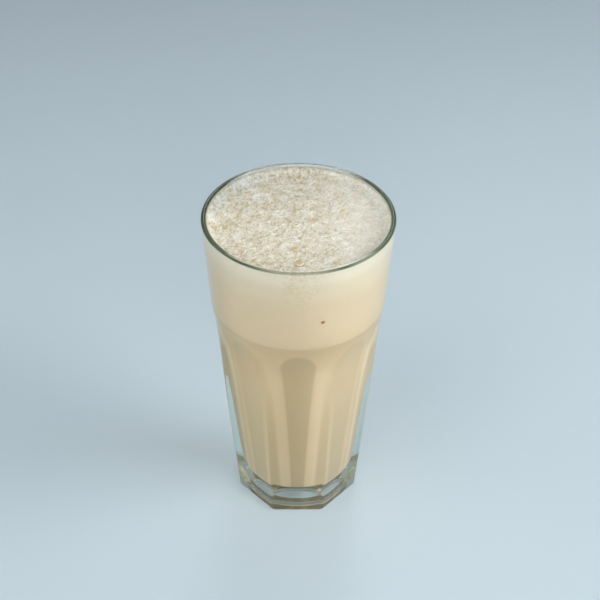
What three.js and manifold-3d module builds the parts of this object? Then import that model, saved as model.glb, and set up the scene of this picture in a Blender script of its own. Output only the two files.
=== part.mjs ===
// Iced coffee with milk in a tall pressed tumbler, millimetres, +Z up, foot on Z = 0 and centred on the Z axis.
// The tumbler is one thick pressed piece: eight flat panels stand on an octagonal foot and end in arched tops
// under a smooth round band. The drink fills it to just under the rim: milky coffee below, a deep head of froth
// above it. Each filling is its own solid that follows the inside of the wall with a small assembly gap.

import * as THREE from "three";
import { mergeVertices } from "three/addons/utils/BufferGeometryUtils.js";
import Module from "manifold-3d";

const wasm = await Module();
wasm.setup();

// Driving dimensions of the tumbler
const HEIGHT = 161.8;
const RIM_OUTER_R = 42;
const RIM_INNER_R = 39.7;
const LIP_HEIGHT = 1.2;
const SHOULDER_Z = 118;
const SHOULDER_R = 39.75;
const WAIST_Z = 112.5;
const WAIST_R = 38.9;
const ENVELOPE_FOOT_R = 34.7;

// Driving dimensions of the eight panels, as distances from the axis to the flat
const PANELS = 8;
const PANEL_FOOT_D = 29.73;
const PANEL_SLOPE = 0.0677;
const COVE_START_Z = 102;
const COVE_END_Z = 113;
const FOOT_BEVEL = 0.5;

// Pushed-up underside, radius and height from the middle out to the flat ring that stands on the table
const UNDERSIDE = [
  [0, 8.3],
  [4, 8.3],
  [8, 8.1],
  [10.5, 7.6],
  [12.5, 6.7],
  [14.5, 5.2],
  [16, 3.8],
  [16.8, 2.9],
  [17.3, 2.6],
  [21.2, 1.7],
  [21.5, 1.5],
  [22.8, 0],
];

// Inside of the wall, radius at height, from the lip down to where the floor corner starts
const BORE = [
  [RIM_INNER_R, HEIGHT - LIP_HEIGHT],
  [36.6, 119],
  [33.0, 111],
  [27.8, 95],
  [24.4, 75],
  [21.9, 53],
  [20.5, 39],
  [19.2, 25],
  [18.3, 18],
  [17.6, 12.6],
];
const FLOOR_Z = 11;
const FLOOR_R = 16.2;

// Driving dimensions of the filling
const GAP = 0.3;
const FROTH_BOTTOM_Z = 117;
const FROTH_TOP_Z = 157;
const FROTH_EDGE_R = 1.2;
const FROTH_SWELL = 0.3;

// Facets: a multiple of the panel count, so that every panel is cut the same way
const ROUND_SEGMENTS = 80;

const GLASS = { color: 0xc9d8d2, roughness: 0.05, metalness: 0, transparent: true, opacity: 0.45 };
const COFFEE = { color: 0xcbb184, roughness: 0.55, metalness: 0 };
const FROTH = { color: 0xe2dac4, roughness: 0.85, metalness: 0 };

const rad = THREE.MathUtils.degToRad;
const smooth = (t) => t * t * (3 - 2 * t);

// Monotone cubic through the bore points: radius at height z.
function boreRadius(z) {
  const last = BORE.length - 1;
  if (z >= BORE[0][1]) return BORE[0][0];
  if (z <= BORE[last][1]) return BORE[last][0];
  const rise = BORE.slice(1).map(([r, h], i) => (BORE[i][0] - r) / (BORE[i][1] - h));
  const slope = BORE.map((_, i) => {
    if (i === 0) return rise[0];
    if (i === last) return rise[last - 1];
    const both = rise[i - 1] + rise[i];
    return rise[i - 1] * rise[i] <= 0 ? 0 : (2 * rise[i - 1] * rise[i]) / both;
  });
  const i = BORE.findIndex(([, h], k) => k < last && z <= h && z >= BORE[k + 1][1]);
  const [rTop, zTop] = BORE[i];
  const [rLow, zLow] = BORE[i + 1];
  const span = zTop - zLow;
  const t = (z - zLow) / span;
  const h00 = 2 * t ** 3 - 3 * t ** 2 + 1;
  const h10 = t ** 3 - 2 * t ** 2 + t;
  const h01 = 3 * t ** 2 - 2 * t ** 3;
  const h11 = t ** 3 - t ** 2;
  return h00 * rLow + h10 * span * slope[i + 1] + h01 * rTop + h11 * span * slope[i];
}

// Distance from the axis to a panel at height z: a tapering flat that sweeps out in a cove to the waist.
function panelDistance(z) {
  const flat = PANEL_FOOT_D + PANEL_SLOPE * z;
  if (z <= COVE_START_Z) return flat;
  const start = PANEL_FOOT_D + PANEL_SLOPE * COVE_START_Z;
  const t = (z - COVE_START_Z) / (COVE_END_Z - COVE_START_Z);
  const straight = PANEL_SLOPE * (COVE_END_Z - COVE_START_Z) * t;
  const sweep = WAIST_R - start - PANEL_SLOPE * (COVE_END_Z - COVE_START_Z);
  return start + straight + sweep * t * t;
}

const point = (r, z) => new THREE.Vector2(r, z);

// Points from one height to another, the ends included.
function between(zStart, zEnd, count, radiusAt) {
  return Array.from({ length: count + 1 }, (_, i) => {
    const z = zStart + ((zEnd - zStart) * i) / count;
    return point(radiusAt(z), z);
  });
}

// Quarter ellipse between two points, leaving the first one along Z.
function corner(from, to, count) {
  return Array.from({ length: count }, (_, i) => {
    const a = (rad(90) * (i + 1)) / count;
    const r = to.x + (from.x - to.x) * Math.cos(a);
    const z = from.y + (to.y - from.y) * Math.sin(a);
    return point(r, z);
  });
}

// Solid of revolution about Z from a profile of radius and height, as a manifold solid.
function turned(profile, segments, phiStart = 0) {
  const geometry = new THREE.LatheGeometry(profile, segments, phiStart, rad(360));
  geometry.rotateX(rad(90));
  return solidOf(geometry);
}

// Manifold solid of a closed geometry.
function solidOf(geometry) {
  geometry.deleteAttribute("normal");
  geometry.deleteAttribute("uv");
  const merged = mergeVertices(geometry, 1e-4);
  return new wasm.Manifold(
    new wasm.Mesh({
      numProp: 3,
      vertProperties: new Float32Array(merged.attributes.position.array),
      triVerts: new Uint32Array(merged.index.array),
    }),
  );
}

// Drawable geometry of a manifold solid.
function geometryOf(solid) {
  const mesh = solid.getMesh();
  const geometry = new THREE.BufferGeometry();
  geometry.setAttribute("position", new THREE.BufferAttribute(mesh.vertProperties, 3));
  geometry.setIndex(new THREE.BufferAttribute(mesh.triVerts, 1));
  const faceted = geometry.toNonIndexed();
  faceted.computeVertexNormals();
  return faceted;
}

// Outline of the tumbler as if it were round all the way down, from the middle of the foot over the rim
// and down the bore to the middle of the floor.
function tumblerProfile() {
  const underside = UNDERSIDE.map(([r, z]) => point(r, z));
  const foot = [point(ENVELOPE_FOOT_R, 0)];
  const waist = [point(WAIST_R, WAIST_Z)];
  const shoulder = between(WAIST_Z, SHOULDER_Z, 5, (z) => {
    return WAIST_R + (SHOULDER_R - WAIST_R) * smooth((z - WAIST_Z) / (SHOULDER_Z - WAIST_Z));
  }).slice(1);
  const lipOuter = point(RIM_OUTER_R - 0.06, HEIGHT - LIP_HEIGHT);
  const lipMiddle = (RIM_OUTER_R + RIM_INNER_R) / 2;
  const lipRise = corner(lipOuter, point(lipMiddle, HEIGHT), 4);
  const lipFall = corner(point(RIM_INNER_R, HEIGHT - LIP_HEIGHT), point(lipMiddle, HEIGHT), 4);
  const inside = [...lipFall.slice(0, -1).reverse()];
  const boreTop = HEIGHT - LIP_HEIGHT;
  const boreLow = BORE[BORE.length - 1][1];
  const band = between(boreTop, 119, 3, boreRadius);
  const throat = between(119, 95, 8, boreRadius).slice(1);
  const well = between(95, boreLow, 9, boreRadius).slice(1);
  const floorCorner = corner(well[well.length - 1], point(FLOOR_R, FLOOR_Z), 5);
  return [
    ...underside,
    ...foot,
    ...waist,
    ...shoulder,
    lipOuter,
    ...lipRise,
    ...inside,
    ...band,
    ...throat,
    ...well,
    ...floorCorner,
    point(0, FLOOR_Z),
  ];
}

// Eight-sided block whose faces are the panels; above the arched tops it stands clear of the round band.
function panelBlock() {
  const toCorner = 1 / Math.cos(rad(180 / PANELS));
  const clear = RIM_OUTER_R + 4;
  const profile = [
    point(0, -1),
    point((PANEL_FOOT_D - FOOT_BEVEL - 1) * toCorner, -1),
    point((PANEL_FOOT_D - FOOT_BEVEL) * toCorner, 0),
    point(panelDistance(FOOT_BEVEL) * toCorner, FOOT_BEVEL),
    point(panelDistance(COVE_START_Z) * toCorner, COVE_START_Z),
    ...between(COVE_START_Z, COVE_END_Z, 8, (z) => panelDistance(z) * toCorner).slice(1),
    point(clear * toCorner, COVE_END_Z + 1.2),
    point(clear * toCorner, HEIGHT + 1),
    point(0, HEIGHT + 1),
  ];
  return turned(profile, PANELS, rad(180 / PANELS));
}

// Filling that follows the inside of the wall with the gap, up to a flat top.
function coffeeProfile() {
  const boreLow = BORE[BORE.length - 1][1];
  const start = point(boreRadius(boreLow) - GAP, boreLow);
  const floorCorner = corner(start, point(FLOOR_R - GAP, FLOOR_Z + GAP), 5).reverse();
  const top = FROTH_BOTTOM_Z - GAP;
  return [
    point(0, FLOOR_Z + GAP),
    ...floorCorner,
    ...between(boreLow, 95, 8, (z) => boreRadius(z) - GAP),
    ...between(95, top, 8, (z) => boreRadius(z) - GAP - 0.04).slice(1),
    point(0, top),
  ];
}

// Head of froth between the coffee and just under the rim; its top is stepped in rings for the swell.
function frothProfile() {
  const edge = boreRadius(FROTH_TOP_Z) - GAP;
  const rise = corner(point(edge, FROTH_TOP_Z - FROTH_EDGE_R), point(edge - FROTH_EDGE_R, FROTH_TOP_Z), 3);
  const rings = Array.from({ length: 7 }, (_, i) => {
    return point((edge - FROTH_EDGE_R) * (1 - (i + 1) / 8), FROTH_TOP_Z);
  });
  return [
    point(0, FROTH_BOTTOM_Z),
    ...between(FROTH_BOTTOM_Z, FROTH_TOP_Z - FROTH_EDGE_R, 4, (z) => boreRadius(z) - GAP - 0.04),
    ...rise,
    ...rings,
    point(0, FROTH_TOP_Z),
  ];
}

// Slow unevenness of the froth, between -1 and 1, dying out at the edge.
function swell(x, y) {
  const wave = Math.sin(x / 6.1 + 0.7) * Math.cos(y / 7.3 - 0.4) + 0.5 * Math.sin((x + 1.7 * y) / 4.6);
  const edge = boreRadius(FROTH_TOP_Z) - FROTH_EDGE_R;
  return (wave / 1.5) * smooth(Math.max(0, 1 - Math.hypot(x, y) / edge));
}

function frothSolid() {
  const geometry = new THREE.LatheGeometry(frothProfile(), ROUND_SEGMENTS / 2, 0, rad(360));
  geometry.rotateX(rad(90));
  const place = geometry.attributes.position;
  for (let i = 0; i < place.count; i++) {
    if (place.getZ(i) > FROTH_TOP_Z - 0.01) {
      place.setZ(i, FROTH_TOP_Z + FROTH_SWELL * swell(place.getX(i), place.getY(i)));
    }
  }
  return solidOf(geometry);
}

const glassSolid = turned(tumblerProfile(), ROUND_SEGMENTS).intersect(panelBlock());

const group = new THREE.Group();
group.name = "iced_coffee";

function add(name, solid, look) {
  const mesh = new THREE.Mesh(geometryOf(solid), new THREE.MeshStandardMaterial(look));
  mesh.name = name;
  group.add(mesh);
}

add("glass", glassSolid, GLASS);
add("coffee", turned(coffeeProfile(), ROUND_SEGMENTS / 2), COFFEE);
add("froth", frothSolid(), FROTH);

export default group;
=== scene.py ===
"""Iced coffee with milk in a tall pressed tumbler, dressed for Cycles in Blender 4.5.

Lengths are millimetres in the shapes and pieces, and metres in the meshes, finishes and studio. The frame is
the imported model's own: +Z up, the foot of the glass on Z = 0, its axis on Z, and the front panel facing -Y.
"""

import logging
import math
import random
from collections.abc import Iterable
from dataclasses import dataclass
from enum import Enum

import bmesh
import bpy
from mathutils import Matrix, Vector, noise


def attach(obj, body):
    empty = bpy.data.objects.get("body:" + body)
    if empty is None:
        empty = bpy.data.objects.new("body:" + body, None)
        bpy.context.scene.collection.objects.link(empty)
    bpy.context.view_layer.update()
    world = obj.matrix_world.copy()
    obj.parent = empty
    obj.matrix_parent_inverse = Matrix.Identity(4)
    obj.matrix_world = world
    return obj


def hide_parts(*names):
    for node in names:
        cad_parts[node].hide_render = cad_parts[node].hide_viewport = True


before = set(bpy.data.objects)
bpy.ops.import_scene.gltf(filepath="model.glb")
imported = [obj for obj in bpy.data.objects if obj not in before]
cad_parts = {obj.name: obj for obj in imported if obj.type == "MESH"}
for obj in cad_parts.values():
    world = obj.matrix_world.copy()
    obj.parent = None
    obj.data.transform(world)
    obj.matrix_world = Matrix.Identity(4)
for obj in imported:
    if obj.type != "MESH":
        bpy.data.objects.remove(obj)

LOG = logging.getLogger("iced_coffee")
MM = 0.001
TAU = 2 * math.pi
# A spun solid is one wedge that is copied round, so that all its panels are alike.
WEDGES = 8
# Vertices that are closer than this, in metres, are one.
WELD = 1e-6
# Attribute of the large bubbles: 1 in the middle of a bubble, 0 at its edge.
MIDDLE = "middle"

Colour = tuple[float, float, float]
Point = tuple[float, float]
Profile = list[Point]
Mesh = bmesh.types.BMesh
Span = tuple[float, float]
Window = tuple[Span, Span]
Socket = bpy.types.NodeSocket

WHITE: Colour = (1.0, 1.0, 1.0)


class Slot(Enum):
    """Material slots of the record."""

    GLASS = "clear_glass"
    COFFEE = "milk_coffee"
    FROTH = "froth"


class Face(Enum):
    """Material index of the two sides of the froth."""

    SIDE = 0
    TOP = 1


class Layer(Enum):
    """Where in the noise each relief is read, so that no two are alike."""

    CELL = 0.4
    FILM_WAVE = 1.7
    SWELL = 3.1
    FILM_RIPPLE = 4.2
    SMALL_CELL = 5.2
    UNEVEN = 8.8


def clamp(value: float) -> float:
    """Value limited to the range from 0 to 1."""
    return max(0.0, min(1.0, value))


def smooth(t: float) -> float:
    """Smooth step of t between 0 and 1."""
    t = clamp(t)
    return t * t * (3 - 2 * t)


def mix(a: float, b: float, t: float) -> float:
    """Value that goes from a to b as t goes from 0 to 1."""
    return a + (b - a) * t


def soft_minimum(values: Iterable[float], width: float) -> float:
    """Smallest of the values, rounded where two of them are close.

    Args:
        values: The values.
        width: Difference over which they are rounded.

    Returns:
        The rounded minimum.
    """
    values = list(values)
    low = min(values)
    return low - width * math.log(sum(math.exp((low - v) / width) for v in values))


def hills(x: float, y: float, layer: Layer) -> float:
    """Smooth noise between about -1 and 1, whose hills are about 1 wide."""
    return noise.noise(Vector((x, y, layer.value)))


def dome(x: float, y: float, fill: float, layer: Layer) -> float:
    """Height over packed round cells about 1 wide, which are the wider the larger fill is."""
    near = noise.voronoi(Vector((x, y, layer.value)))[0][0]
    return math.sqrt(max(0.0, fill - near ** 2))


@dataclass(frozen=True)
class TumblerShape:
    """Sizes of the tumbler, in millimetres, and the radii that follow from them.

    The points of underside and bore are radius and height. A ring of the mesh stands at each of bevel_rings,
    which are shares of the bevel, and wall_rings says where each stretch of the wall begins and ends, and how
    many rings it has.
    """

    height: float = 161.8
    rim_outer_r: float = 42.0
    rim_inner_r: float = 39.7
    lip: float = 1.2
    shoulder_z: float = 118.0
    shoulder_r: float = 39.75
    waist_z: float = 112.5
    waist_r: float = 38.9
    foot_envelope_r: float = 34.7
    panels: int = 8
    panel_foot: float = 29.73
    panel_slope: float = 0.0677
    cove_start_z: float = 102.0
    cove_end_z: float = 113.0
    round_from_z: float = 115.0
    edge_round: float = 0.4
    foot_bevel: float = 0.5
    underside: tuple[Point, ...] = (
        (0.0, 8.3), (4.0, 8.3), (8.0, 8.1), (10.5, 7.6), (12.5, 6.7), (14.5, 5.2), (16.0, 3.8),
        (16.8, 2.9), (17.3, 2.6), (17.6, 2.53), (20.9, 1.77), (21.2, 1.7), (21.5, 1.5), (22.0, 0.97),
        (22.4, 0.46), (22.8, 0.0),
    )
    bore: tuple[Point, ...] = (
        (39.7, 160.6), (36.6, 119), (33.0, 111), (27.8, 95), (24.4, 75),
        (21.9, 53), (20.5, 39), (19.2, 25), (18.3, 18), (17.6, 12.6),
    )
    floor_z: float = 11.0
    floor_r: float = 16.2
    bevel_rings: tuple[float, ...] = (0.0, 0.12, 0.35, 0.65)
    wall_rings: tuple[tuple[float, float, int], ...] = (
        (0.5, 5.0, 4), (5.0, 60.0, 18), (60.0, 98.0, 38), (98.0, 119.0, 36), (119.0, 160.6, 10),
    )
    floor_rings: int = 8

    def bore_radius(self, z: float) -> float:
        """Inner radius at height z, a monotone cubic through the bore's points.

        Args:
            z: Height above the table.

        Returns:
            Radius of the inside of the wall.
        """
        points = self.bore
        last = len(points) - 1
        if z >= points[0][1]:
            return points[0][0]
        if z <= points[last][1]:
            return points[last][0]
        rise = [(a[0] - b[0]) / (a[1] - b[1]) for a, b in zip(points, points[1:])]
        slope = [rise[0]]
        slope += [2 * a * b / (a + b) if a * b > 0 else 0.0 for a, b in zip(rise, rise[1:])]
        slope.append(rise[-1])
        i = next(k for k in range(last) if z >= points[k + 1][1])
        (r_top, z_top), (r_low, z_low) = points[i], points[i + 1]
        span = z_top - z_low
        t = (z - z_low) / span
        low = (2 * t**3 - 3 * t**2 + 1) * r_low + (t**3 - 2 * t**2 + t) * span * slope[i + 1]
        top = (3 * t**2 - 2 * t**3) * r_top + (t**3 - t**2) * span * slope[i]
        return low + top

    def envelope(self, z: float) -> float:
        """Radius of the round form that the panels are cut from.

        Args:
            z: Height above the table.

        Returns:
            Radius at that height.
        """
        if z >= self.shoulder_z:
            t = (z - self.shoulder_z) / (self.height - self.shoulder_z)
            return mix(self.shoulder_r, self.rim_outer_r, t)
        if z >= self.waist_z:
            t = (z - self.waist_z) / (self.shoulder_z - self.waist_z)
            return mix(self.waist_r, self.shoulder_r, smooth(t))
        return mix(self.foot_envelope_r, self.waist_r, z / self.waist_z)

    def panel_distance(self, z: float) -> float:
        """Distance from the axis to a panel, which sweeps out in a cove at its top.

        Args:
            z: Height above the table.

        Returns:
            Distance at that height.
        """
        flat = self.panel_foot + self.panel_slope * z
        if z <= self.cove_start_z:
            return flat
        top = self.panel_foot + self.panel_slope * self.cove_end_z
        t = (z - self.cove_start_z) / (self.cove_end_z - self.cove_start_z)
        return flat + (self.waist_r - top) * t * t

    def outer_radius(self, azimuth: float, z: float) -> float:
        """Radius of the outside of the wall.

        Args:
            azimuth: Angle round the axis, zero at the middle of a panel.
            z: Height above the table.

        Returns:
            Radius, with the edges between the faces rounded as pressed glass is.
        """
        if z > self.round_from_z:
            return self.envelope(z)
        step = TAU / self.panels
        off = abs((azimuth + step / 2) % step - step / 2)
        distance = self.panel_distance(z)
        faces = (distance / math.cos(off), distance / math.cos(step - off), self.envelope(z))
        radius = soft_minimum(faces, self.edge_round)
        rise = clamp(z / self.foot_bevel)
        return radius - self.foot_bevel * (1 - math.sqrt(1 - (1 - rise) ** 2))

    def heights(self) -> list[float]:
        """Heights of the rings of the outer wall, closer together where the surface curves.

        Returns:
            Heights from the foot up.
        """
        rings = [self.foot_bevel * t for t in self.bevel_rings]
        for low, high, count in self.wall_rings:
            rings += [mix(low, high, i / count) for i in range(count)]
        return rings + [self.height - self.lip]

    def bore_profile(self, grow: float, low: float, high: float, count: int) -> Profile:
        """Radius, grown by that much, and height up the wall's inside, in count steps from low to high."""
        heights = [mix(low, high, i / count) for i in range(count + 1)]
        return [(self.bore_radius(z) + grow, z) for z in heights]

    def floor_profile(self, grow: float) -> Profile:
        """Radius and height along the floor and up its rounded corner.

        Args:
            grow: Distance that the profile stands out beyond the floor.

        Returns:
            Points from the axis outwards.
        """
        corner_r, corner_z = self.bore[-1]
        count = self.floor_rings
        points = [(self.floor_r * i / count, self.floor_z - grow) for i in range(count + 1)]
        for i in range(1, count + 1):
            a = math.pi / 2 * i / count
            r = self.floor_r + (corner_r - self.floor_r + grow) * math.sin(a)
            z = corner_z - (corner_z - self.floor_z + grow) * math.cos(a)
            points.append((r, z))
        return points


SHAPE = TumblerShape()


def lid(edge: float, z: float, rings: int) -> Profile:
    """Radius and height from a round edge in to the axis, on one level."""
    return [(edge * (1 - i / rings), z) for i in range(1, rings + 1)]


def spun(profile: Profile, steps: int) -> Mesh:
    """Closed solid of revolution about Z.

    Args:
        profile: Radius and height in millimetres, from the axis back to the axis.
        steps: Number of steps round the axis.

    Returns:
        The mesh, in metres, its normals outward.
    """
    bm = bmesh.new()
    verts = [bm.verts.new((0.0, -r * MM, z * MM)) for r, z in profile]
    edges = [bm.edges.new(pair) for pair in zip(verts, verts[1:])]
    wedge = TAU / WEDGES
    bmesh.ops.spin(
        bm, geom=verts + edges, axis=(0, 0, 1), cent=(0, 0, 0), steps=steps // WEDGES, angle=wedge
    )
    first = bm.verts[:] + bm.edges[:] + bm.faces[:]
    for k in range(1, WEDGES):
        copy = bmesh.ops.duplicate(bm, geom=first)["geom"]
        moved = [item for item in copy if isinstance(item, bmesh.types.BMVert)]
        bmesh.ops.rotate(bm, verts=moved, cent=(0, 0, 0), matrix=Matrix.Rotation(k * wedge, 3, "Z"))
    bmesh.ops.remove_doubles(bm, verts=bm.verts[:], dist=WELD)
    bmesh.ops.recalc_face_normals(bm, faces=bm.faces[:])
    return bm


def to_object(name: str, bm: Mesh, sharp_degrees: float = 180.0) -> bpy.types.Object:
    """Object of the mesh at the origin, smooth except at edges sharper than the given angle.

    Args:
        name: Name of the object.
        bm: Its mesh, which is freed.
        sharp_degrees: Angle above which an edge stays sharp.

    Returns:
        The object, linked to the scene.
    """
    bmesh.ops.recalc_face_normals(bm, faces=bm.faces[:])
    mesh = bpy.data.meshes.new(name)
    bm.to_mesh(mesh)
    bm.free()
    mesh.polygons.foreach_set("use_smooth", [True] * len(mesh.polygons))
    mesh.set_sharp_from_angle(angle=math.radians(sharp_degrees))
    made = bpy.data.objects.new(name, mesh)
    bpy.context.scene.collection.objects.link(made)
    LOG.info("%s: %d faces", name, len(mesh.polygons))
    return made


class Nodes:
    """Adds and joins nodes of one node tree."""

    # A Mix node's sockets for colours come after those for numbers and vectors.
    MIX_INPUTS = (6, 7)
    MIX_OUTPUT = 2

    def __init__(self, tree: bpy.types.NodeTree) -> None:
        """Keeps the tree."""
        self.tree = tree

    def add(self, kind: str, settings: dict | None = None, **values: object) -> bpy.types.Node:
        """New node.

        Args:
            kind: Type name without its ShaderNode prefix.
            settings: Attributes of the node.
            **values: Inputs, as fill takes them.

        Returns:
            The node.
        """
        prefix = "" if kind.startswith("NodeGroup") else "ShaderNode"
        node = self.tree.nodes.new(prefix + kind)
        for name, value in (settings or {}).items():
            setattr(node, name, value)
        self.fill(node, **values)
        return node

    def fill(self, node: bpy.types.Node, **values: object) -> None:
        """Feeds inputs of the node by their names, with underscores for spaces."""
        for name, value in values.items():
            self.feed(node.inputs[name.replace("_", " ")], value)

    def feed(self, socket: Socket, value: object) -> None:
        """Links the value to the socket if it is one itself, or else sets it.

        Args:
            socket: Input of a node.
            value: Output of a node, number, vector or colour.
        """
        if isinstance(value, Socket):
            self.tree.links.new(value, socket)
        elif isinstance(value, tuple) and socket.type == "RGBA":
            socket.default_value = (*value, 1.0)
        else:
            socket.default_value = value

    def math(self, operation: str, *values: object, kind: str = "Math") -> Socket:
        """First result of a Math or VectorMath node.

        Args:
            operation: What the node does.
            *values: What it does it to.
            kind: Math or VectorMath.

        Returns:
            The result.
        """
        node = self.add(kind, {"operation": operation})
        for socket, value in zip(node.inputs, values):
            self.feed(socket, value)
        return node.outputs[0]

    def times(self, product: object, *others: object) -> Socket:
        """Product of the values.

        Args:
            product: First of them.
            *others: The others.

        Returns:
            The product.
        """
        for value in others:
            product = self.math("MULTIPLY", product, value)
        return product

    def rest(self, value: object) -> Socket:
        """What the value leaves of 1."""
        return self.math("SUBTRACT", 1.0, value)

    def ramp(
        self, factor: object, span: Span, start: float = 0.0, end: float = 1.0, eased: bool = True
    ) -> Socket:
        """Value that changes as the factor goes through a span.

        Args:
            factor: What the value depends on.
            span: Where the change begins and ends.
            start: Value before the span.
            end: Value past the span.
            eased: Whether the change begins and ends softly.

        Returns:
            The value.
        """
        kind = "SMOOTHSTEP" if eased else "LINEAR"
        node = self.add(
            "MapRange", {"interpolation_type": kind, "clamp": True},
            Value=factor, From_Min=span[0], From_Max=span[1], To_Min=start, To_Max=end,
        )
        return node.outputs["Result"]

    def fall(self, factor: object, span: Span) -> Socket:
        """1 before the span and 0 past it."""
        return self.ramp(factor, span, 1.0, 0.0)

    def window(self, factor: object, spans: Window) -> Socket:
        """1 between the two spans and 0 outside them."""
        return self.times(self.ramp(factor, spans[0]), self.fall(factor, spans[1]))

    def blend(self, factor: object, a: object, b: object, kind: str = "MIX") -> Socket:
        """Colour a mixed with colour b.

        Args:
            factor: Share of the mix.
            a: Colour at 0.
            b: Colour that is mixed in.
            kind: Way of mixing.

        Returns:
            The colour.
        """
        node = self.add("Mix", {"data_type": "RGBA", "blend_type": kind}, Factor=factor)
        for number, value in zip(self.MIX_INPUTS, (a, b)):
            self.feed(node.inputs[number], value)
        return node.outputs[self.MIX_OUTPUT]

    def tinted(self, colour: Socket, tints: Iterable[tuple[Socket, Colour]]) -> Socket:
        """Colour multiplied by tints.

        Args:
            colour: The colour.
            tints: Masks, each with the tint that holds where it is 1.

        Returns:
            The tinted colour.
        """
        for mask, tint in tints:
            colour = self.blend(mask, colour, tint, "MULTIPLY")
        return colour

    def stops(self, factor: object, stops: Iterable[tuple[float, Colour]]) -> Socket:
        """Colour of a soft ramp.

        Args:
            factor: Place on the ramp.
            stops: Place and colour of each stop, in order.

        Returns:
            The colour.
        """
        node = self.add("ValToRGB", Fac=factor)
        node.color_ramp.interpolation = "EASE"
        (low, low_colour), *middle, (high, high_colour) = stops
        elements = node.color_ramp.elements
        for position, colour in middle:
            elements.new(position).color = (*colour, 1.0)
        elements[0].position, elements[0].color = low, (*low_colour, 1.0)
        elements[-1].position, elements[-1].color = high, (*high_colour, 1.0)
        return node.outputs["Color"]

    def split(self, vector: object) -> tuple[Socket, Socket, Socket]:
        """X, Y and Z of the vector."""
        node = self.add("SeparateXYZ", Vector=vector)
        return tuple(node.outputs[axis] for axis in "XYZ")

    def radius(self, x: object, y: object) -> Socket:
        """Distance of a place from the Z axis."""
        flat = self.add("CombineXYZ", X=x, Y=y).outputs["Vector"]
        return self.add("VectorMath", {"operation": "LENGTH"}, Vector=flat).outputs["Value"]

    def from_front(self, x: object, y: object) -> Socket:
        """Angle round the Z axis between a place and the front, to either side, in radians."""
        turn = self.math("ARCTAN2", x, self.times(y, -1.0))
        return self.math("ABSOLUTE", turn)


class Group(Nodes):
    """Nodes of a shader node group whose outputs are all numbers."""

    def __init__(self, name: str, inputs: dict[str, str], outputs: Iterable[str]) -> None:
        """Starts the group.

        Args:
            name: Name of the group.
            inputs: Kind of socket by input name.
            outputs: Output names.
        """
        super().__init__(bpy.data.node_groups.new(name, "ShaderNodeTree"))
        for label, kind in inputs.items():
            self.tree.interface.new_socket(name=label, in_out="INPUT", socket_type="NodeSocket" + kind)
        for label in outputs:
            self.tree.interface.new_socket(name=label, in_out="OUTPUT", socket_type="NodeSocketFloat")
        self.given = self.add("NodeGroupInput").outputs
        self.out = self.add("NodeGroupOutput")


@dataclass(frozen=True)
class BubblePattern:
    """Packed round bubbles, each a little out of round."""

    wobble_scale: float = 260.0
    wobble_detail: float = 2.0
    wobble: float = 0.0012
    fill: float = 0.5

    def build(self) -> bpy.types.NodeTree:
        """Group of the pattern.

        Returns:
            The group: Height is a dome over each bubble, Tone a number of each bubble's own.
        """
        group = Group("packed_bubbles", {"Vector": "Vector", "Scale": "Float"}, ("Height", "Tone"))
        vector = group.given["Vector"]
        noisy = group.add("TexNoise", Vector=vector, Scale=self.wobble_scale, Detail=self.wobble_detail)
        moved = group.math(
            "MULTIPLY_ADD", noisy.outputs["Color"], (self.wobble,) * 3, vector, kind="VectorMath"
        )
        cells = group.add("TexVoronoi", Vector=moved, Scale=group.given["Scale"], Randomness=1.0)
        distance = cells.outputs["Distance"]
        under = group.math("SUBTRACT", self.fill, group.times(distance, distance))
        tone = group.add("SeparateColor", Color=cells.outputs["Color"]).outputs["Red"]
        group.fill(group.out, Height=group.math("SQRT", group.math("MAXIMUM", under, 0.0)), Tone=tone)
        return group.tree


@dataclass(frozen=True)
class MottlePattern:
    """Slow cloudy variation round a half."""

    middle: float = 0.5
    detail: float = 4.0
    roughness: float = 0.55

    def build(self) -> bpy.types.NodeTree:
        """Group of the pattern.

        Returns:
            The group: Value is between 0 and 1, nearer to one of them the higher Contrast is.
        """
        inputs = {"Vector": "Vector", "Scale": "Float", "Contrast": "Float"}
        group = Group("slow_mottle", inputs, ("Value",))
        cloud = group.add("TexNoise", Vector=group.given["Vector"], Scale=group.given["Scale"],
                          Detail=self.detail, Roughness=self.roughness)
        centred = group.math("SUBTRACT", cloud.outputs["Fac"], self.middle)
        scaled = group.math("MULTIPLY_ADD", centred, group.given["Contrast"], self.middle)
        group.fill(group.out, Value=group.add("Clamp", Value=scaled).outputs["Result"])
        return group.tree


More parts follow.
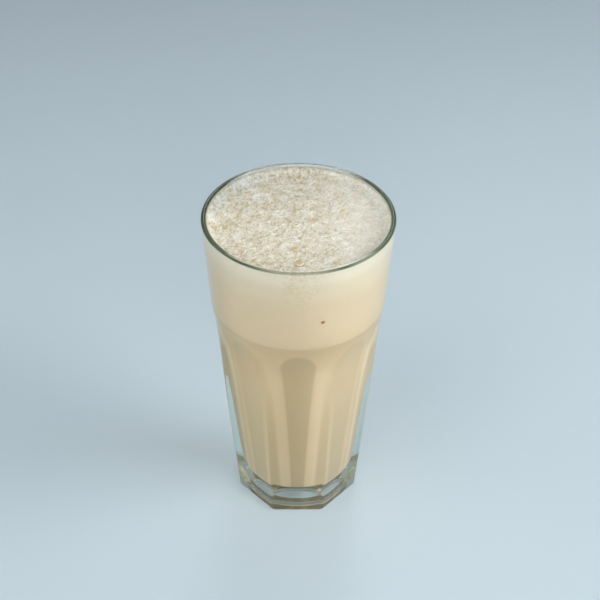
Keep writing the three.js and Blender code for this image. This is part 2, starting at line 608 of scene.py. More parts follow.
@dataclass(frozen=True)
class PanelLight:
    """Painted light and shade on the drink, standing in for what the glass throws on it, by height and by
    angle from the front.

    Heights are metres and angles radians. Reach is the angle from the middle of the nearest panel, as a share
    of the angle at which that panel's shade ends.
    """

    panels: int = SHAPE.panels
    shade_end_z: Span = (0.02, 0.1)
    shade_end: Span = (0.18, 0.265)
    shade_reach: Span = (0.86, 1.14)
    arch_power: float = 2.2
    arch_drop: float = 0.008
    arch_z: Span = (0.1098, 0.1130)
    band_reach: Span = (0.92, 1.5)
    band_z: Span = (0.094, 0.108)
    front_angle: Span = (0.36, 0.5)
    aside_z: Span = (0.025, 0.085)
    aside_share: Span = (0.85, 0.45)
    next_panel: Window = ((0.43, 0.56), (0.74, 0.96))
    next_panel_z: Span = (0.098, 0.110)
    next_panel_band: float = 0.85
    side_panel: Window = ((0.80, 0.95), (1.55, 1.75))
    shoulder_z: Span = (0.1075, 0.1125)
    behind_angle: Span = (1.72, 1.98)
    rim_z: Span = (0.03, 0.09)
    rim_angle: Span = (1.36, 1.30)
    rim_rise: Span = (-0.14, -0.02)
    rim_fall: Span = (0.04, 0.16)
    rim_fall_low: float = 0.45
    strip_angle: Span = (1.30, 1.56)
    strip_z: Span = (0.068, 0.094)

    def build(self) -> bpy.types.NodeTree:
        """Group of the pattern.

        Returns:
            The group: masks of the panels, of the bands between them, and of lines at the sides.
        """
        group = Group("panel_light", {"Vector": "Vector"}, ("Band", "Middle", "Rim", "Strip"))
        x, y, z = group.split(group.given["Vector"])
        away = group.from_front(x, y)
        self.light_panels(group, away, z)
        self.light_sides(group, away, z)
        return group.tree

    def light_panels(self, group: Group, away: Socket, z: Socket) -> None:
        """Feeds Middle, the shade behind the panels, and Band, the light between them.

        Args:
            group: The group.
            away: Angle from the front.
            z: Height.
        """
        step = TAU / self.panels
        off = group.math("ABSOLUTE", group.math("WRAP", away, step / 2, -step / 2))
        shade_end = group.ramp(z, self.shade_end_z, *self.shade_end, eased=False)
        reach = group.math("DIVIDE", off, shade_end)
        arch = group.math("MULTIPLY_ADD", group.math("POWER", reach, self.arch_power), self.arch_drop, z)
        aside = group.ramp(z, self.aside_z, *self.aside_share)
        share = group.rest(group.times(group.ramp(away, self.front_angle), group.rest(aside)))
        arched = group.times(group.fall(reach, self.shade_reach), group.fall(arch, self.arch_z), share)
        beside = group.window(away, self.next_panel)
        whole = group.times(beside, group.fall(z, self.next_panel_z), aside)
        band = group.times(group.ramp(reach, self.band_reach), group.fall(z, self.band_z))
        dimmed = group.rest(group.times(beside, self.next_panel_band))
        band = group.times(band, dimmed, group.rest(group.window(away, self.side_panel)))
        group.fill(group.out, Band=band, Middle=group.math("MAXIMUM", arched, whole))

    def light_sides(self, group: Group, away: Socket, z: Socket) -> None:
        """Feeds Rim, a painted lit line near each side, and Strip, a greyer painted shade outside it high on
        the panels.

        Args:
            group: The group.
            away: Angle from the front.
            z: Height.
        """
        here = group.times(group.fall(away, self.behind_angle), group.fall(z, self.shoulder_z))
        past = group.math("SUBTRACT", away, group.ramp(z, self.rim_z, *self.rim_angle))
        fade = group.ramp(z, self.strip_z, self.rim_fall_low)
        fade = group.times(fade, group.ramp(past, self.rim_fall))
        rim = group.times(group.ramp(past, self.rim_rise), group.rest(fade), here)
        strip = group.times(group.ramp(away, self.strip_angle), group.ramp(z, self.strip_z), here)
        group.fill(group.out, Rim=rim, Strip=strip)


class GroupLibrary:
    """Shader node groups that the finishes share, each made once."""

    def __init__(self) -> None:
        """Makes the groups."""
        self.bubbles = BubblePattern().build()
        self.mottle = MottlePattern().build()
        self.panel_light = PanelLight().build()


class Coat(Nodes):
    """Nodes of a material with one Principled shader, whose patterns follow the place on the piece."""

    def __init__(self, name: str, groups: GroupLibrary) -> None:
        """Starts the material.

        Args:
            name: Name of the material.
            groups: Shared node groups.
        """
        self.material = bpy.data.materials.new(name)
        self.material.use_nodes = True
        super().__init__(self.material.node_tree)
        self.groups = groups
        self.place = self.add("TexCoord").outputs["Object"]

    def finish(self, **values: object) -> None:
        """Feeds inputs of the shader, as fill takes them."""
        self.fill(self.tree.nodes["Principled BSDF"], **values)

    def group(self, tree: bpy.types.NodeTree, **values: object) -> bpy.types.NodeOutputs:
        """Outputs of a shared group on the place, its other inputs fed."""
        return self.add("Group", {"node_tree": tree}, Vector=self.place, **values).outputs

    def mottled(self, scale: float, contrast: float) -> Socket:
        """Slow cloudy variation between 0 and 1."""
        return self.group(self.groups.mottle, Scale=scale, Contrast=contrast)["Value"]

    def bump(self, height: Socket, distance: float, strength: float = 1.0) -> None:
        """Gives the surface a relief: its height between 0 and 1, how far 1 stands out, and its strength."""
        node = self.add("Bump", Strength=strength, Distance=distance, Height=height)
        self.finish(Normal=node.outputs["Normal"])


@dataclass(frozen=True)
class Finish:
    """Look of a surface: a material of this name, with what paint adds to it."""

    name: str = "plain"
    roughness: float = 0.5
    specular: float = 0.5

    def build(self, groups: GroupLibrary) -> bpy.types.Material:
        """Material of the finish.

        Args:
            groups: Shared node groups.

        Returns:
            The material.
        """
        coat = Coat(self.name, groups)
        coat.finish(Roughness=self.roughness, Specular_IOR_Level=self.specular)
        self.paint(coat)
        return coat.material

    def paint(self, coat: Coat) -> None:
        """Adds what is this finish's own."""
        raise NotImplementedError


@dataclass(frozen=True)
class GlassFinish(Finish):
    """Clear pressed glass with the faint green of its iron, with painted shade at the lip and on the step in
    the foot.
    """

    name: str = "pressed_glass"
    roughness: float = 0.012
    ior: float = 1.51
    tint: Colour = (0.62, 0.84, 0.72)
    density: float = 8.0
    # The lip's own dark green, deepened by painted shade at its sides and front edge.
    lip_green_and_shade: Colour = (0.016, 0.036, 0.020)
    lip_under_top: Span = (0.0007, 0.0013)
    lip_side_x: Span = (0.018, 0.032)
    lip_edge_r: Span = (0.0408, 0.0414)
    lip_edge_x: Span = (0.004, 0.020)
    lip_edge_front: float = 0.75
    lip_behind_y: Span = (-0.010, 0.012)
    # Painted shade: the step in the foot is darkened, as the floor under it lies in shadow.
    step_painted_shade: Colour = (0.42, 0.39, 0.33)
    step_r: Window = ((0.0206, 0.0212), (0.0226, 0.0232))
    step_z: Span = (0.0018, 0.0022)
    wave_scale: float = 55.0
    wave_contrast: float = 1.0
    wave_height: float = 0.00004
    clear_z: Span = (0.0018, 0.0045)
    clear_at_foot: float = 0.02
    clear_above: float = 0.92

    def tone(self, coat: Coat) -> Socket:
        """Clear, but dark green at the lip's sides and front edge, where the glass's green is deepened by
        painted shade, and darker on the step in the foot by painted shade.

        Args:
            coat: Nodes of the material.

        Returns:
            The colour.
        """
        x, y, z = coat.split(coat.place)
        radius = coat.radius(x, y)
        aside = coat.math("ABSOLUTE", x)
        edge = coat.times(
            coat.ramp(radius, self.lip_edge_r),
            coat.ramp(aside, self.lip_edge_x, self.lip_edge_front),
            coat.fall(y, self.lip_behind_y),
        )
        dark = coat.math("MAXIMUM", coat.ramp(aside, self.lip_side_x), edge)
        under_top = coat.math("SUBTRACT", SHAPE.height * MM, z)
        at_lip = coat.times(coat.fall(under_top, self.lip_under_top), dark)
        lip = coat.blend(at_lip, WHITE, self.lip_green_and_shade)
        step = coat.times(coat.window(radius, self.step_r), coat.fall(z, self.step_z))
        return coat.blend(step, lip, self.step_painted_shade)

    def paint(self, coat: Coat) -> None:
        """Clear solid with the slow waves that the mould leaves, which lets light through to the drink.

        Args:
            coat: Nodes of the material.
        """
        coat.finish(Base_Color=self.tone(coat), IOR=self.ior, Transmission_Weight=1.0)
        coat.bump(coat.mottled(self.wave_scale, self.wave_contrast), self.wave_height)
        z = coat.split(coat.place)[2]
        clear = coat.ramp(z, self.clear_z, self.clear_at_foot, self.clear_above)
        shadow = coat.add("LightPath").outputs["Is Shadow Ray"]
        coat.finish(Alpha=coat.rest(coat.times(shadow, clear)))
        volume = coat.add("VolumeAbsorption", Color=self.tint, Density=self.density)
        coat.fill(coat.tree.nodes["Material Output"], Volume=volume.outputs["Volume"])


@dataclass(frozen=True)
class DrinkFinish(Finish):
    """Milky coffee as it looks through the wall, with painted light and shade; tones are heights in metres,
    each with the colour there.
    """

    name: str = "milky_coffee"
    roughness: float = 0.6
    specular: float = 0.0
    tones: tuple[tuple[float, Colour], ...] = (
        # The first stop is painted shade: the drink's underside, which little light reaches.
        (0.0114, (0.40, 0.30, 0.17)),
        (0.0128, (0.63, 0.47, 0.275)),
        (0.045, (0.67, 0.495, 0.28)),
        (0.095, (0.745, 0.55, 0.315)),
        (0.112, (0.72, 0.55, 0.32)),
        (0.120, (0.70, 0.57, 0.38)),
        (0.140, (0.68, 0.57, 0.40)),
        (0.150, (0.70, 0.62, 0.47)),
        (0.158, (0.76, 0.71, 0.58)),
    )
    top_z: float = 0.160
    # Painted shade in the middle of each panel, painted light at its edges and near the sides, and a greyer
    # painted strip outside that.
    middle_shade: Colour = (0.80, 0.80, 0.80)
    band_light: Colour = (1.05, 1.06, 1.15)
    rim_light: Colour = (1.15, 1.22, 1.42)
    strip_shade: Colour = (0.90, 0.96, 1.02)
    # Painted light on the drink's right side, where the window's light falls.
    right_light: Colour = (1.03, 1.04, 1.12)
    right_x: Span = (0.003, 0.009)
    right_z: Span = (0.100, 0.114)
    cloud_shade: Colour = (0.95, 0.95, 0.95)
    cloud_scale: float = 70.0
    cloud_contrast: float = 1.6

    def tone(self, coat: Coat) -> Socket:
        """Colour of the drink, with the light and shade that the glass throws on it painted in.

        Args:
            coat: Nodes of the material.

        Returns:
            The colour.
        """
        x, _, z = coat.split(coat.place)
        stops = [(height / self.top_z, colour) for height, colour in self.tones]
        colour = coat.stops(coat.math("DIVIDE", z, self.top_z), stops)
        light = coat.group(coat.groups.panel_light)
        at_right = coat.times(coat.ramp(x, self.right_x), coat.fall(z, self.right_z))
        cloud = coat.rest(coat.mottled(self.cloud_scale, self.cloud_contrast))
        return coat.tinted(colour, (
            (light["Middle"], self.middle_shade),
            (at_right, self.right_light),
            (light["Band"], self.band_light),
            (light["Rim"], self.rim_light),
            (light["Strip"], self.strip_shade),
            (cloud, self.cloud_shade),
        ))

    def paint(self, coat: Coat) -> None:
        """Drink against the wall."""
        coat.finish(Base_Color=self.tone(coat))


@dataclass(frozen=True)
class FrothSideFinish(DrinkFinish):
    """Froth against the wall: the drink's tone, with fine bubbles in a patch under the rim."""

    name: str = "froth_at_wall"
    roughness: float = 0.65
    speck: Colour = (0.62, 0.50, 0.30)
    speck_share: float = 0.55
    fine_scale: float = 1350.0
    fine_tone: Span = (0.5, 0.85)
    fine_z: Span = (0.134, 0.150)
    fine_angle: Span = (0.08, 0.40)
    fine_aside: float = 0.15
    patch_scale: float = 45.0
    patch_contrast: float = 3.0
    patch_value: Span = (0.1, 0.6)
    patch_low: float = 0.5

    def paint(self, coat: Coat) -> None:
        """Drink's tone with the fine bubbles over it.

        Args:
            coat: Nodes of the material.
        """
        x, y, z = coat.split(coat.place)
        fine = coat.group(coat.groups.bubbles, Scale=self.fine_scale)
        patch = coat.mottled(self.patch_scale, self.patch_contrast)
        specks = coat.times(
            coat.ramp(fine["Tone"], self.fine_tone),
            coat.ramp(z, self.fine_z),
            coat.ramp(coat.from_front(x, y), self.fine_angle, 1.0, self.fine_aside),
            coat.ramp(patch, self.patch_value, self.patch_low),
            self.speck_share,
        )
        coat.finish(Base_Color=coat.blend(specks, self.tone(coat), self.speck))


@dataclass(frozen=True)
class Patches:
    """One size of tan and pale patches in the froth: its scale, its contrast and its share of the tone."""

    scale: float
    contrast: float
    share: float


@dataclass(frozen=True)
class FrothTopFinish(Finish):
    """Open head of the froth with wet glints: tan hollows, pale patches and white threads."""

    name: str = "froth_head"
    roughness: float = 0.3
    tan: Colour = (0.59, 0.465, 0.30)
    pale: Colour = (0.79, 0.695, 0.505)
    skin: Colour = (1.0, 0.965, 0.86)
    tone_stops: tuple[float, ...] = (0.18, 0.50, 0.56, 0.80)
    patches: tuple[Patches, ...] = (
        Patches(820.0, 3.5, 0.44), Patches(330.0, 4.6, 0.34), Patches(120.0, 4.2, 0.22),
    )
    cell_scale: float = 520.0
    cell_rise: float = 0.5
    open_tone: Span = (0.4, 1.0)
    open_height: Span = (0.1, 0.6)
    open_shade: float = -0.07
    thread_scale: float = 360.0
    thread_contrast: float = 1.0
    thread_width: Span = (0.008, 0.045)
    thread_share: float = 0.85
    thread_rise: float = 0.5
    # Painted light: the head is paler to the right, where the light falls.
    right_light_share: float = 0.45
    right_x: Span = (0.0, 0.036)
    # Painted shade: the head is greyer at the back, away from the lights.
    behind: Colour = (0.80, 0.81, 0.82)
    behind_y: Span = (-0.005, 0.035)
    behind_x: Span = (0.002, 0.030)
    behind_right: float = 0.3
    # Painted shade on the left and painted light on the right, both bluish, where the head meets the back of
    # the wall.
    wall_r: Span = (0.0335, 0.0390)
    wall_y: Span = (-0.004, 0.014)
    wall_left_shade: Colour = (0.74, 0.81, 0.92)
    wall_left_x: Span = (-0.030, 0.015)
    wall_right_light: Colour = (1.02, 1.06, 1.13)
    wall_right_x: Span = (-0.002, 0.020)
    relief: float = 0.0003
    relief_strength: float = 0.9

    def lace(self, coat: Coat) -> tuple[Socket, Socket]:
        """Threads over patches, the same all over the head.

        Args:
            coat: Nodes of the material.

        Returns:
            Colour, and height between 0 and about 2.
        """
        cells = coat.group(coat.groups.bubbles, Scale=self.cell_scale)
        hollow = coat.ramp(cells["Tone"], self.open_tone)
        tone = coat.times(hollow, coat.ramp(cells["Height"], self.open_height), self.open_shade)
        for size in self.patches:
            tone = coat.math("MULTIPLY_ADD", coat.mottled(size.scale, size.contrast), size.share, tone)
        ground = coat.stops(tone, zip(self.tone_stops, (self.tan, self.pale, self.pale, self.skin)))
        mottle = coat.mottled(self.thread_scale, self.thread_contrast)
        off_line = coat.math("ABSOLUTE", coat.math("SUBTRACT", mottle, MottlePattern.middle))
        line = coat.fall(off_line, self.thread_width)
        colour = coat.blend(coat.times(line, self.thread_share), ground, self.skin)
        rise = coat.math("MULTIPLY_ADD", cells["Height"], self.cell_rise, tone)
        return colour, coat.math("MULTIPLY_ADD", line, self.thread_rise, rise)

    def head(self, coat: Coat) -> tuple[Socket, Socket]:
        """Lace with painted light to the right, painted shade behind, and bluish painted shade and light at
        the back of the wall.

        Args:
            coat: Nodes of the material.

        Returns:
            Colour, and height between 0 and about 2.
        """
        colour, rise = self.lace(coat)
        x, y, _ = coat.split(coat.place)
        colour = coat.blend(coat.ramp(x, self.right_x, 0.0, self.right_light_share), colour, self.skin)
        at_back = coat.times(coat.ramp(y, self.behind_y), coat.ramp(x, self.behind_x, 1.0, self.behind_right))
        at_wall = coat.times(coat.ramp(coat.radius(x, y), self.wall_r), coat.ramp(y, self.wall_y))
        colour = coat.tinted(colour, (
            (at_back, self.behind),
            (coat.times(at_wall, coat.fall(x, self.wall_left_x)), self.wall_left_shade),
            (coat.times(at_wall, coat.ramp(x, self.wall_right_x)), self.wall_right_light),
        ))
        return colour, rise

    def paint(self, coat: Coat) -> None:
        """Head with its relief.

        Args:
            coat: Nodes of the material.
        """
        colour, rise = self.head(coat)
        coat.finish(Base_Color=colour)
        coat.bump(rise, self.relief, self.relief_strength)


@dataclass(frozen=True)
class FilmFinish(FrothTopFinish):
    """Froth that clings to the wall just over the head and thins out upwards."""

    name: str = "wall_film"
    roughness: float = 0.5
    specular: float = 0.3
    relief_strength: float = 0.8
    thin_z: Span = (0.1592, 0.1612)
    thin_alpha: float = 0.35

    def paint(self, coat: Coat) -> None:
        """Head's froth, clearer at its upper edge.

        Args:
            coat: Nodes of the material.
        """
        super().paint(coat)
        z = coat.split(coat.place)[2]
        coat.finish(Alpha=coat.ramp(z, self.thin_z, 1.0, self.thin_alpha))


@dataclass(frozen=True)
class BubbleFinish(Finish):
    """Large bubbles whose thin skin lets the coffee under the froth show."""

    name: str = "bubble_skin"
    roughness: float = 0.4
    specular: float = 0.3
    amber: Colour = (0.60, 0.44, 0.20)
    pale: Colour = (0.82, 0.75, 0.59)
    cloud_scale: float = 520.0
    cloud_contrast: float = 2.5
    cloud_low: float = 0.75

    def paint(self, coat: Coat) -> None:
        """Amber in the middle of a bubble and paler at its edge.

        Args:
            coat: Nodes of the material.
        """
        share = coat.add("Attribute", {"attribute_name": MIDDLE}).outputs["Fac"]
        cloud = coat.ramp(coat.mottled(self.cloud_scale, self.cloud_contrast), (0.0, 1.0), self.cloud_low)
        coat.finish(Base_Color=coat.blend(coat.times(share, cloud), self.pale, self.amber))


@dataclass(frozen=True)
class MottledFinish(Finish):
    """Plain colour, mottled with a darker one."""

    colour: Colour = WHITE
    darkest: float = 1.0
    scale: float = 1.0
    contrast: float = 1.0

    def paint(self, coat: Coat) -> None:
        """Colour and a share of it, mixed by the mottle."""
        dark = tuple(self.darkest * part for part in self.colour)
        coat.finish(Base_Color=coat.blend(coat.mottled(self.scale, self.contrast), dark, self.colour))


CRUMB = MottledFinish(
    "coffee_speck", roughness=0.6, specular=0.1,
    colour=(0.45, 0.20, 0.055), darkest=0.6, scale=2500.0, contrast=2.0,
)
PALE_FLOOR = MottledFinish(
    "pale_floor", roughness=0.5, specular=0.3,
    colour=(0.58, 0.68, 0.745), darkest=0.95, scale=3.0,
)


@dataclass
class Piece:
    """Piece of the drink: its name, its slot of the record, which is not used, and its finishes by material
    index.
    """

    name: str = "piece"
    slot: Slot = Slot.FROTH
    replaces: str = ""
    finishes: tuple[Finish, ...] = ()
    sharp_degrees: float = 180.0
    shape: TumblerShape = SHAPE

    def mesh(self) -> Mesh:
        """Mesh of the piece, in metres."""
        raise NotImplementedError

    def build(self, groups: GroupLibrary) -> None:
        """Piece in its finishes, entered in the frame.

        Args:
            groups: Shared node groups.
        """
        piece = to_object(self.name, self.mesh(), self.sharp_degrees)
        for finish in self.finishes:
            piece.data.materials.append(finish.build(groups))
        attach(piece, "root")
        if self.replaces:
            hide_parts(self.replaces)


@dataclass
class Tumbler(Piece):
    """Pressed tumbler: round rim band, eight arched panels and a thick octagonal foot."""

    name: str = "tumbler"
    slot: Slot = Slot.GLASS
    replaces: str = "glass"
    finishes: tuple[Finish, ...] = (GlassFinish(),)
    sharp_degrees: float = 35.0
    steps: int = 480
    lip_steps: int = 10
    bore_steps: int = 44

    def profile(self) -> Profile:
        """Closed outline, as if the tumbler were round all the way down.

        Returns:
            Points from the axis, along the underside, up the outside and down the bore, back to the axis.
        """
        shape = self.shape
        points = list(shape.underside)
        points += [(shape.envelope(z), z) for z in shape.heights()]
        middle = (shape.rim_outer_r + shape.rim_inner_r) / 2
        half = (shape.rim_outer_r - shape.rim_inner_r) / 2
        low = shape.height - shape.lip
        for i in range(1, self.lip_steps):
            a = math.pi * i / self.lip_steps
            points.append((middle + half * math.cos(a), low + shape.lip * math.sin(a)))
        points += reversed(shape.bore_profile(0.0, shape.bore[-1][1], low, self.bore_steps))
        points += reversed(shape.floor_profile(0.0)[:-1])
        return points

    def mesh(self) -> Mesh:
        """Spun outline with its outer wall drawn in to the panels.

        Returns:
            The mesh, in metres.
        """
        shape = self.shape
        bm = spun(self.profile(), self.steps)
        for vert in bm.verts:
            z = vert.co.z / MM
            r = math.hypot(vert.co.x, vert.co.y) / MM
            inner = shape.bore_radius(z) if z > shape.floor_z else shape.underside[-1][0]
            if z > shape.round_from_z or r < (shape.envelope(z) + inner) / 2:
                continue
            azimuth = math.atan2(vert.co.x, -vert.co.y)
            scale = shape.outer_radius(azimuth, z) / r
            vert.co.x *= scale
            vert.co.y *= scale
        return bm


@dataclass
class MilkCoffee(Piece):
    """Coffee up to the underside of the froth, reaching just into the wall."""

    name: str = "coffee_drink"
    slot: Slot = Slot.COFFEE
    replaces: str = "coffee"
    finishes: tuple[Finish, ...] = (DrinkFinish(),)
    sharp_degrees: float = 35.0
    into_wall: float = 0.15
    top_z: float = 117.0
    steps: int = 240
    side_rings: int = 70
    top_rings: int = 12

    def mesh(self) -> Mesh:
        """Coffee as one solid.

        Returns:
            The mesh, in metres.
        """
        shape = self.shape
        points = shape.floor_profile(self.into_wall)
        points += shape.bore_profile(self.into_wall, shape.bore[-1][1], self.top_z, self.side_rings)[1:]
        return spun(points + lid(points[-1][0], self.top_z, self.top_rings), self.steps)


@dataclass(frozen=True)
class Bubble:
    """One large bubble: its middle and radius in millimetres, and how amber it is."""

    x: float
    y: float
    radius: float
    amber: float = 1.0


@dataclass
class FrothHead(Piece):
    """Head of froth: its side against the wall and its bubbly top.

    The top is a slow swell with packed cells of two sizes on it, uneven in height. It dips round each large
    bubble, by a share of that bubble's radius, and is calm at the wall.
    """

    name: str = "froth_head"
    replaces: str = "froth"
    finishes: tuple[Finish, ...] = (FrothSideFinish(), FrothTopFinish())
    sharp_degrees: float = 60.0
    into_wall: float = 0.12
    low_z: float = MilkCoffee.top_z + 0.05
    low_r: float = 15.0
    top_z: float = 157.0
    steps: int = 360
    side_rings: int = 24
    top_rings: int = 84
    level: float = 0.12
    swell: float = 0.28
    swell_size: float = 9.0
    cell: float = 2.3
    cell_height: float = 0.34
    cell_fill: float = 0.5
    uneven_size: float = 4.0
    uneven: tuple[float, float] = (0.6, 0.8)
    small_cell: float = 1.15
    small_share: float = 0.4
    small_fill: float = 0.4
    dimple: float = 0.25
    dimple_reach: float = 1.5
    calm_width: float = 1.0
    calm_edge: float = 0.05
    calm_share: float = 0.25
    side_below: float = 1.2
    top_normal_z: float = 0.3
    bubbles: tuple[Bubble, ...] = ()

    def relief(self, x: float, y: float) -> float:
        """Height of the top above its level, in millimetres.

        Args:
            x: Place across, in millimetres.
            y: Place from front to back, in millimetres.

        Returns:
            Slow swell, packed bubbles of two sizes, and a dimple round each large bubble.
        """
        rise = self.swell * hills(x / self.swell_size, y / self.swell_size, Layer.SWELL)
        mean, spread = self.uneven
        uneven = mean + spread * hills(x / self.uneven_size, y / self.uneven_size, Layer.UNEVEN)
        rise += self.cell_height * dome(x / self.cell, y / self.cell, self.cell_fill, Layer.CELL) * uneven
        small = dome(x / self.small_cell, y / self.small_cell, self.small_fill, Layer.SMALL_CELL)
        rise += self.small_share * self.cell_height * small
        for bubble in self.bubbles:
            away = math.hypot(x - bubble.x, y - bubble.y) / bubble.radius
            rise -= self.dimple * bubble.radius * smooth(self.dimple_reach - away)
        return rise - self.level

    def mesh(self) -> Mesh:
        """Solid with its top moved to the relief, which is calmer at the wall.

        Returns:
            The mesh, in metres.
        """
        points: Profile = [(0.0, self.low_z), (self.low_r, self.low_z)]
        points += self.shape.bore_profile(self.into_wall, self.low_z, self.top_z, self.side_rings)
        edge = points[-1][0]
        bm = spun(points + lid(edge, self.top_z, self.top_rings), self.steps)
        for vert in bm.verts:
            if vert.co.z < self.top_z * MM - WELD:
                continue
            x, y = vert.co.x / MM, vert.co.y / MM
            inward = smooth((edge - self.calm_edge - math.hypot(x, y)) / self.calm_width)
            vert.co.z += MM * self.relief(x, y) * mix(self.calm_share, 1.0, inward)
        bmesh.ops.recalc_face_normals(bm, faces=bm.faces[:])
        lowest = (self.top_z - self.side_below) * MM
        for face in bm.faces:
            up = face.normal.z > self.top_normal_z and face.calc_center_median().z > lowest
            face.material_index = (Face.TOP if up else Face.SIDE).value
        return bm


@dataclass
class LargeBubbles(Piece):
    """Large bubbles: flattened balls, half sunk in the froth."""

    name: str = "large_bubbles"
    finishes: tuple[Finish, ...] = (BubbleFinish(),)
    bubbles: tuple[Bubble, ...] = ()
    level_z: float = FrothHead.top_z
    sunk: float = 0.02
    flatness: float = 0.22
    segments: tuple[int, int] = (24, 14)
    amber_from: float = 0.97
    amber_width: float = 0.4
    lumps: float = 4.0
    lump_x: float = 0.35
    lump_y: float = 0.25

    def mesh(self) -> Mesh:
        """All the balls, each a little out of round, with their middles marked for the finish.

        Returns:
            The mesh, in metres.
        """
        bm = bmesh.new()
        layer = bm.verts.layers.float.new(MIDDLE)
        across, down = self.segments
        for bubble in self.bubbles:
            made = bmesh.ops.create_uvsphere(bm, u_segments=across, v_segments=down, radius=1.0)["verts"]
            for vert in made:
                away = math.hypot(vert.co.x, vert.co.y)
                vert[layer] = bubble.amber * smooth((self.amber_from - away) / self.amber_width)
                lump = noise.noise(Vector((self.lumps * vert.co.x, self.lumps * vert.co.y, bubble.x)))
                vert.co.x *= 1 + self.lump_x * lump
                vert.co.y *= 1 - self.lump_y * lump
            radius = bubble.radius * MM
            bmesh.ops.scale(bm, verts=made, vec=(radius, radius, self.flatness * radius))
            z = (self.level_z - self.sunk * bubble.radius) * MM
            bmesh.ops.translate(bm, verts=made, vec=(bubble.x * MM, bubble.y * MM, z))
        return bm


@dataclass
class WallFilm(Piece):
    """Film of froth on the inside of the wall, just over the head."""

    name: str = "wall_film"
    finishes: tuple[Finish, ...] = (FrothSideFinish(), FilmFinish())
    sharp_degrees: float = 60.0
    low_z: float = FrothHead.top_z - 0.4
    high_z: float = 160.9
    into_wall: float = 0.04
    upper_thickness: float = 0.12
    wedge: float = 3.8
    wedge_power: float = 3.0
    wander: float = 0.2
    wave: float = 3.0
    ripple: float = 14.0
    ripple_share: float = 0.5
    steps: int = 360
    rings: int = 14
    outward: float = 0.5

    def mesh(self) -> Mesh:
        """Ring that is thick at the head and thin above, with an uneven upper edge.

        Returns:
            The mesh, in metres.
        """
        count = self.rings
        outer = self.shape.bore_profile(self.into_wall, self.low_z, self.high_z, count)
        inner = []
        for i, (r, z) in enumerate(outer):
            wedge = self.wedge * (1 - i / count) ** self.wedge_power
            inner.append((r - self.upper_thickness - wedge, z))
        bm = bmesh.new()
        verts = [bm.verts.new((0.0, -r * MM, z * MM)) for r, z in outer + inner[::-1]]
        edges = [bm.edges.new(pair) for pair in zip(verts, verts[1:] + verts[:1])]
        bmesh.ops.spin(
            bm, geom=verts + edges, axis=(0, 0, 1), cent=(0, 0, 0),
            steps=self.steps, angle=TAU, use_merge=True,
        )
        for vert in bm.verts:
            share = (vert.co.z / MM - self.low_z) / (self.high_z - self.low_z)
            turn = math.atan2(vert.co.x, -vert.co.y)
            x, y = math.cos(turn), math.sin(turn)
            lift = hills(self.wave * x, self.wave * y, Layer.FILM_WAVE)
            lift += self.ripple_share * hills(self.ripple * x, self.ripple * y, Layer.FILM_RIPPLE)
            vert.co.z += MM * self.wander * lift * share
        bmesh.ops.recalc_face_normals(bm, faces=bm.faces[:])
        for face in bm.faces:
            away = face.calc_center_median().to_2d().normalized()
            at_wall = face.normal.to_2d().dot(away) > self.outward
            face.material_index = (Face.SIDE if at_wall else Face.TOP).value
        return bm


@dataclass
class Speck(Piece):
    """Crumb of ground coffee that sits against the inside of the wall."""

    name: str = "coffee_speck"
    slot: Slot = Slot.COFFEE
    finishes: tuple[Finish, ...] = (CRUMB,)
    azimuth_degrees: float = 15.0
    z: float = 133.0
    radius: float = 0.8
    into_wall: float = 0.05
    unevenness: float = 0.08
    seed: int = 5

    def mesh(self) -> Mesh:
        """Small uneven ball, part of it in the wall.

        Returns:
            The mesh, in metres.
        """
        bm = bmesh.new()
        made = bmesh.ops.create_icosphere(bm, subdivisions=3, radius=self.radius * MM)["verts"]
        chance = random.Random(self.seed)
        for vert in made:
            vert.co *= 1 + self.unevenness * chance.uniform(-1, 1)
        turn = math.radians(self.azimuth_degrees)
        r = (self.shape.bore_radius(self.z) + self.into_wall) * MM
        bmesh.ops.translate(bm, verts=made, vec=(r * math.sin(turn), -r * math.cos(turn), self.z * MM))
        return bm


@dataclass(frozen=True)
class SoftLight:
    """One soft box: where it stands, its two sides in metres, its power and its colour."""

    name: str
    place: tuple[float, float, float]
    size: tuple[float, float]
    power: float
    colour: Colour = WHITE
    aim: tuple[float, float, float] = (0.0, 0.0, 0.08)
    spread_degrees: float = 180.0

    def build(self) -> None:
        """Area light turned to its aim, not seen through the glass."""
        data = bpy.data.lights.new(self.name, "AREA")
        data.shape = "RECTANGLE"
        data.size, data.size_y = self.size
        data.energy = self.power
        data.color = self.colour
        data.spread = math.radians(self.spread_degrees)
        light = bpy.data.objects.new(self.name, data)
        bpy.context.scene.collection.objects.link(light)
        light.location = self.place
        light.visible_transmission = False
        look = Vector(self.aim) - Vector(self.place)
        light.rotation_euler = look.to_track_quat("-Z", "Y").to_euler()


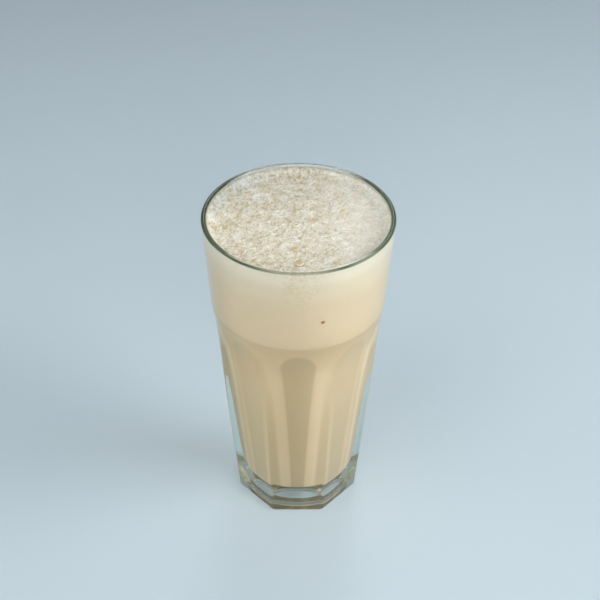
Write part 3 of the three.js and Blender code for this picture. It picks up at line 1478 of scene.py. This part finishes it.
@dataclass
class Studio:
    """Floor, surroundings, lights and camera."""

    groups: GroupLibrary
    floor: Finish = PALE_FLOOR
    floor_side: float = 6.0
    floor_z: float = -0.00005
    lens: float = 59.766
    sensor_width: float = 36.0
    camera_place: tuple[float, float, float] = (-0.0035, -0.3533, 0.4045)
    clip_start: float = 0.01
    pitch: float = 39.45
    yaw: float = 0.71
    roll: float = 0.44
    sky: Colour = (0.85, 0.95, 1.0)
    sky_strength: float = 0.28
    lights: tuple[SoftLight, ...] = (
        SoftLight("window_right", (1.28, -0.24, 0.80), (0.9, 0.9), 15.0, (0.98, 0.995, 1.0)),
        SoftLight("back_high", (0.15, 1.20, 1.10), (0.8, 0.6), 0.22, spread_degrees=30.0),
        SoftLight("front_low", (0.05, -1.48, 0.29), (0.8, 0.5), 4.5, (1.0, 0.99, 0.97)),
        SoftLight("front_high", (0.10, -1.30, 0.83), (0.9, 0.7), 5.0, (1.0, 0.99, 0.97)),
        SoftLight("left_high", (-0.61, -0.61, 1.31), (0.8, 0.8), 5.0, (0.99, 0.99, 0.985)),
        SoftLight("left_low", (-1.48, 0.0, 0.29), (0.7, 0.5), 4.5, (0.98, 0.985, 0.98)),
    )

    def build_floor(self) -> None:
        """Wide plain floor just under the foot."""
        bm = bmesh.new()
        bmesh.ops.create_grid(bm, x_segments=8, y_segments=8, size=self.floor_side / 2)
        bmesh.ops.translate(bm, verts=bm.verts[:], vec=(0, 0, self.floor_z))
        floor = to_object("floor", bm)
        floor.data.materials.append(self.floor.build(self.groups))

    def build_sky(self) -> None:
        """Even pale surroundings."""
        world = bpy.data.worlds.new("surroundings")
        world.use_nodes = True
        sky = world.node_tree.nodes["Background"]
        sky.inputs["Color"].default_value = (*self.sky, 1.0)
        sky.inputs["Strength"].default_value = self.sky_strength
        bpy.context.scene.world = world

    def build_camera(self) -> None:
        """Camera at the height and angle of the photograph."""
        data = bpy.data.cameras.new("camera")
        data.lens = self.lens
        data.sensor_width = self.sensor_width
        data.clip_start = self.clip_start
        camera = bpy.data.objects.new("camera", data)
        bpy.context.scene.collection.objects.link(camera)
        turn = Matrix.Rotation(math.radians(-self.yaw), 4, "Z")
        turn = turn @ Matrix.Rotation(math.pi / 2 - math.radians(self.pitch), 4, "X")
        turn = turn @ Matrix.Rotation(math.radians(self.roll), 4, "Z")
        camera.matrix_world = Matrix.Translation(Vector(self.camera_place)) @ turn
        bpy.context.scene.camera = camera

    def trace(self) -> None:
        """Sets the view transform, denoising, and how often light bounces and passes glass and froth."""
        scene = bpy.context.scene
        scene.view_settings.view_transform = "Standard"
        cycles = scene.cycles
        cycles.use_denoising = True
        cycles.max_bounces = 24
        cycles.transmission_bounces = 24
        cycles.glossy_bounces = 12
        cycles.diffuse_bounces = 6
        cycles.transparent_max_bounces = 16

    def build(self) -> None:
        """Whole studio."""
        self.build_floor()
        self.build_sky()
        self.build_camera()
        for light in self.lights:
            light.build()
        self.trace()


@dataclass
class IcedCoffee:
    """The whole drink: tumbler, coffee, froth and what is on them."""

    groups: GroupLibrary
    bubbles: tuple[Bubble, ...] = (
        Bubble(-31.2, -4.4, 1.6), Bubble(-17.0, 5.1, 1.4), Bubble(-27.1, 12.1, 1.3, 0.6),
        Bubble(-12.9, -20.9, 1.3, 0.7), Bubble(-1.3, -18.9, 1.6), Bubble(0.1, -28.6, 2.1),
        Bubble(-7.6, -26.7, 1.5, 0.35), Bubble(19.7, 8.9, 1.5, 0.7), Bubble(10.7, 4.6, 1.2, 0.5),
        Bubble(-3.7, 3.5, 1.2, 0.5), Bubble(15.8, -28.7, 1.3, 0.5),
    )

    def build(self) -> None:
        """Every piece of the drink, in order."""
        froth = FrothHead(bubbles=self.bubbles), LargeBubbles(bubbles=self.bubbles), WallFilm()
        for piece in (Tumbler(), MilkCoffee(), *froth, Speck()):
            piece.build(self.groups)


def main() -> None:
    """Builds the drink and its studio."""
    logging.basicConfig(level=logging.INFO, format="%(name)s: %(message)s")
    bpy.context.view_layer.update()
    groups = GroupLibrary()
    IcedCoffee(groups).build()
    Studio(groups).build()


if __name__ == "__main__":
    main()
